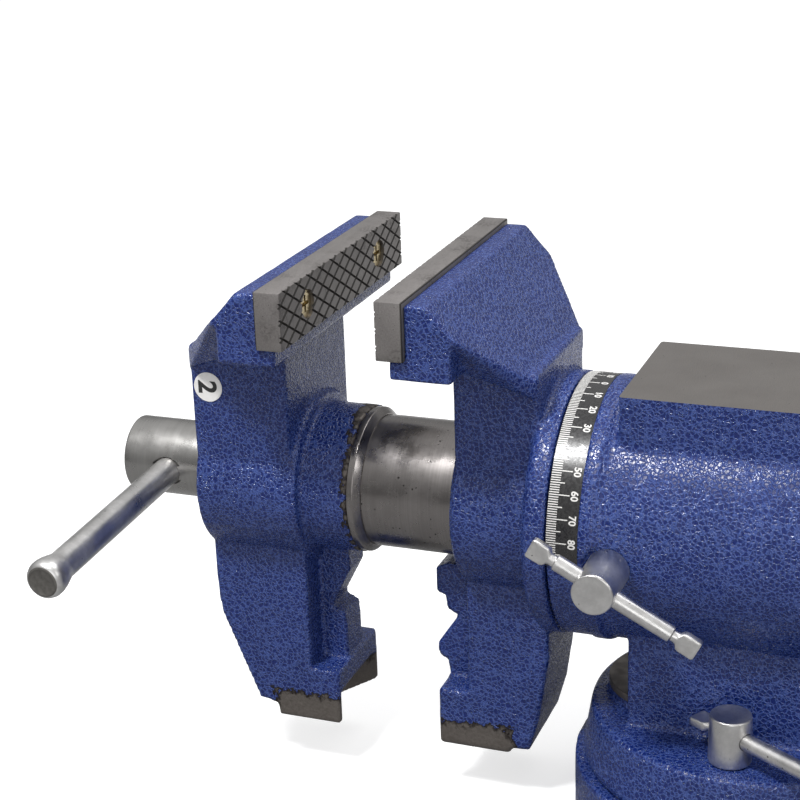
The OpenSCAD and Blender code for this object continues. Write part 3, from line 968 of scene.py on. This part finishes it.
def locks():
    tilt, turn = math.radians(28), math.radians(31)
    low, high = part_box("head_lock_screw")
    foot = Vector(((low.x + high.x) / 2, -60 * MM, (low.z + high.z) / 2))
    way = Vector((math.cos(tilt), 0, -math.sin(tilt)))
    middle = lock_screw("head_lock", "head_lock_screw", foot, (0, -1, 0), way, 27.9, 20,
                        "head_lock")
    lock_bar("head_lock_handle", "head_lock_bar", middle, way, (0, 1, 0), 33.5, 50,
             "head_lock_tommy_bar")
    for side, name in ((-1, "near"), (1, "far")):
        low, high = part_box(f"swivel_lock_screw_{name}")
        foot = Vector((0, side * 58 * MM, high.z - 23.3 * MM))
        way = Vector((math.cos(turn), -math.sin(turn), 0)) * -side
        middle = lock_screw(f"swivel_lock_{name}", f"swivel_lock_screw_{name}", foot, (0, 0, 1),
                            way, 22.9, 13, f"{name}_lock")
        lock_bar(f"swivel_lock_handle_{name}", f"swivel_lock_bar_{name}", middle, way, (0, 0, 1),
                 20.5, 62.5, f"{name}_lock_tommy_bar")


# ---- Sticker ----


def sticker_figure():
    """A plain figure on the round sticker."""
    low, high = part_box("round_sticker")
    middle = (low + high) / 2
    figure = written("sticker_figure", "2", 13, 0.0004)
    for v in figure.data.vertices:
        across, up = v.co.x, v.co.y - 4.6 * MM
        v.co = Vector((middle.x + up, low.y - 0.02 * MM - v.co.z, middle.z - across))
    dress(figure, INK)
    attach(figure, "moving_jaw")


# ---- CAD nodes that stay ----


def kept_nodes():
    """Gives each kept node its material, and a bevel in mm where its edges are seen."""
    looks = {
        "degree_band": (BAND, 0), "band_rivets": (ZINC, 0), "pivot_bolt": (DARK_STEEL, 0.4),
        "pivot_washer": (ZINC, 0.3), "clamp_nut_near": (DARK_STEEL, 0.5),
        "clamp_nut_far": (DARK_STEEL, 0.5), "head_lock_pad": (BRONZE, 0.2),
        "fixed_plate_screws": (YELLOW_ZINC, 0.3), "moving_plate_screws": (YELLOW_ZINC, 0.3),
        "retaining_ring": (IRON, 0.6), "retaining_screws": (DARK_STEEL, 0.3),
        "lead_nut": (BRONZE, 0.6), "nut_screw": (DARK_STEEL, 0.3), "slide_tube": (SLIDE, 0.5),
        "slide_set_screw": (DARK_STEEL, 0.3), "thrust_washer": (ZINC, 0.3),
        "round_sticker": (PAPER, 0), "thrust_collar": (IRON, 0.5), "collar_pin": (ZINC, 0.2),
    }
    for node, (material, bevel_mm) in looks.items():
        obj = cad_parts[node]
        for slot in obj.material_slots:
            slot.material = material
        if bevel_mm:
            weld = obj.modifiers.new("weld", "WELD")
            weld.merge_threshold = 2e-6
            bevel = obj.modifiers.new("bevel", "BEVEL")
            bevel.width = bevel_mm * MM
            bevel.segments = 2
            bevel.limit_method = "ANGLE"
            bevel.angle_limit = math.radians(40)


# ---- Stage ----


def aim(obj, place, target):
    obj.location = place
    obj.rotation_euler = (Vector(target) - Vector(place)).to_track_quat("-Z", "Y").to_euler()


def floor_paper():
    """Pale paper: even to the camera, and darker in reflections of the floor in front."""
    g = Graph("floor_paper")
    seen = g.add("ShaderNodeLightPath").outputs["Is Camera Ray"]
    split = g.add("ShaderNodeSeparateXYZ")
    g.put(split.inputs[0], g.place)
    behind = g.step(split.outputs[1], -0.05, 0.8)
    tone = g.blend(seen, g.blend(behind, 0.28, 0.8), 0.6)
    g.set(Base_Color=tone, Roughness=0.9, Specular_IOR_Level=0.0)
    g.set(Emission_Color=(1, 1, 1), Emission_Strength=g.blend(seen, 0.0, 0.62))
    return g.material


def sky():
    """A soft room: dim at the level of the floor, bright overhead, and white to the camera."""
    world = bpy.data.worlds.new("studio")
    world.use_nodes = True
    tree = world.node_tree
    add = tree.nodes.new
    split, rise = add("ShaderNodeSeparateXYZ"), add("ShaderNodeMapRange")
    tree.links.new(add("ShaderNodeTexCoord").outputs["Generated"], split.inputs[0])
    tree.links.new(split.outputs[2], rise.inputs["Value"])
    rise.interpolation_type = "SMOOTHSTEP"
    rise.inputs["From Min"].default_value = 0.0
    rise.inputs["From Max"].default_value = 0.9
    rise.inputs["To Min"].default_value = 0.26
    rise.inputs["To Max"].default_value = 0.8
    back = tree.nodes["Background"]
    back.inputs[0].default_value = (1, 1, 1, 1)
    strength = add("ShaderNodeMath")
    strength.operation = "MAXIMUM"
    tree.links.new(rise.outputs[0], strength.inputs[0])
    seen = add("ShaderNodeLightPath").outputs["Is Camera Ray"]
    tree.links.new(seen, strength.inputs[1])
    tree.links.new(strength.outputs[0], back.inputs[1])
    bpy.context.scene.world = world


def stage():
    """The floor, the room and the lamps."""
    bpy.ops.mesh.primitive_plane_add(size=12, location=(0, 0, 0))
    floor = bpy.context.object
    floor.name = "floor"
    dress(floor, floor_paper())
    sky()
    lamps = (
        ("key", (-0.5, -0.7, 1.6), 0.26, 15),
        ("top", (0.3, 0.5, 1.6), 0.7, 7),
        ("fill", (1.4, -0.7, 0.9), 0.5, 3),
        ("front", (0.5, -1.9, 0.45), 1.1, 7),
        ("streak", (-0.35, -0.5, 1.1), 0.1, 3),
    )
    for name, place, size, power in lamps:
        light = bpy.data.lights.new(name, "AREA")
        light.shape = "SQUARE"
        light.size = size
        light.energy = power
        lamp = new_object(name, light)
        aim(lamp, place, (-0.1, 0, 0.15))


# The photograph's view: azimuth, height and roll in degrees, place in metres, lens in mm
CAMERA_ANGLES = (21.484, 19.777, -2.072)
CAMERA_PLACE = (0.131974, -0.776439, 0.492092)
CAMERA_LENS = 83.31


def camera():
    azimuth, height, roll = (math.radians(a) for a in CAMERA_ANGLES)
    forward = Vector((-math.sin(azimuth) * math.cos(height),
                      math.cos(azimuth) * math.cos(height), -math.sin(height)))
    level = Vector((math.cos(azimuth), math.sin(azimuth), 0))
    upright = level.cross(forward)
    right = math.cos(roll) * level + math.sin(roll) * upright
    up = -math.sin(roll) * level + math.cos(roll) * upright
    data = bpy.data.cameras.new("camera")
    data.lens = CAMERA_LENS
    data.sensor_width = 36
    data.clip_start = 0.02
    obj = new_object("camera", data)
    turn = Matrix((right, up, -forward)).transposed().to_4x4()
    obj.matrix_world = Matrix.Translation(Vector(CAMERA_PLACE)) @ turn
    bpy.context.scene.camera = obj
    bpy.context.scene.view_settings.view_transform = "Standard"


castings()
body_pad()
jaw_plates()
degree_scale()
slide_shoulder()
screw_head()
screw_thread()
handle()
locks()
sticker_figure()
kept_nodes()
stage()
camera()
